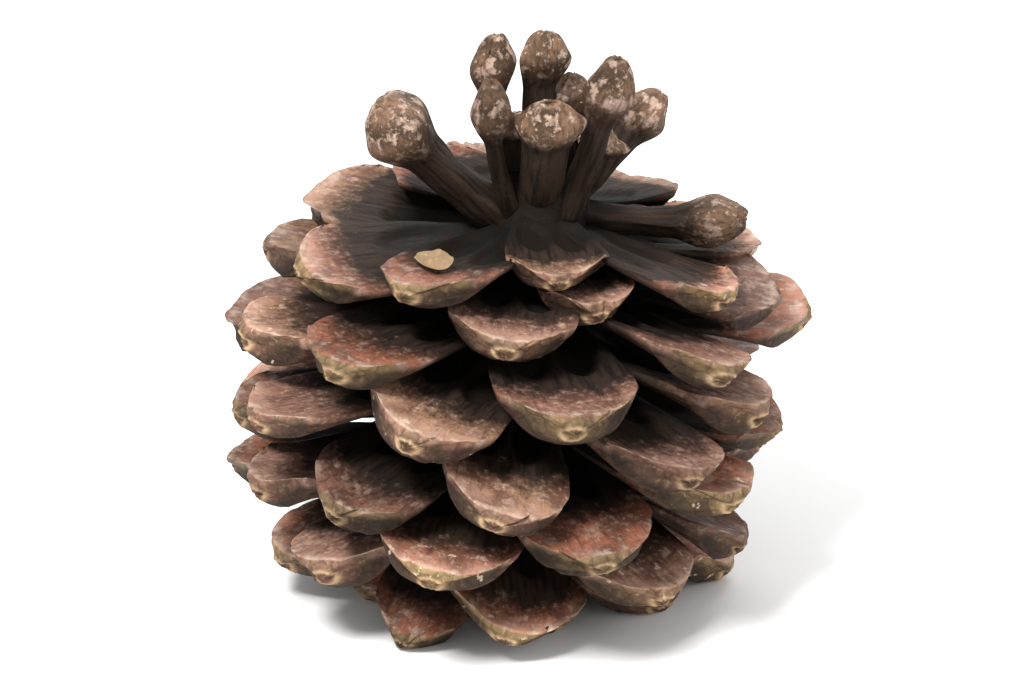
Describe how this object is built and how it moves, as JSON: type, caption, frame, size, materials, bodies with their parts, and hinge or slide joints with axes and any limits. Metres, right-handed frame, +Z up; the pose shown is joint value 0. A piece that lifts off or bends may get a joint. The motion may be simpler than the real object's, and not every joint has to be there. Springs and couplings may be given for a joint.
{
  "type": "stone pine cone",
  "caption": "Open, dry stone pine cone with broad woody scales on a golden-angle spiral and a small crown of upright scales, standing on its base.",
  "frame": {"origin": "middle of the broken stalk's face, on the surface that the cone stands on", "axes": "Z up; the cone leans slightly towards +X as it rises"},
  "size_m": [0.1203, 0.1172, 0.1163],
  "materials": {
    "cone_wood": "dry woody scales, red-brown on their upper faces, near black at the root, grey-brown and slightly resinous on their thick outer ends"
  },
  "bodies": {
    "root": {"cone": "cone_wood"}
  },
  "joints": []
}
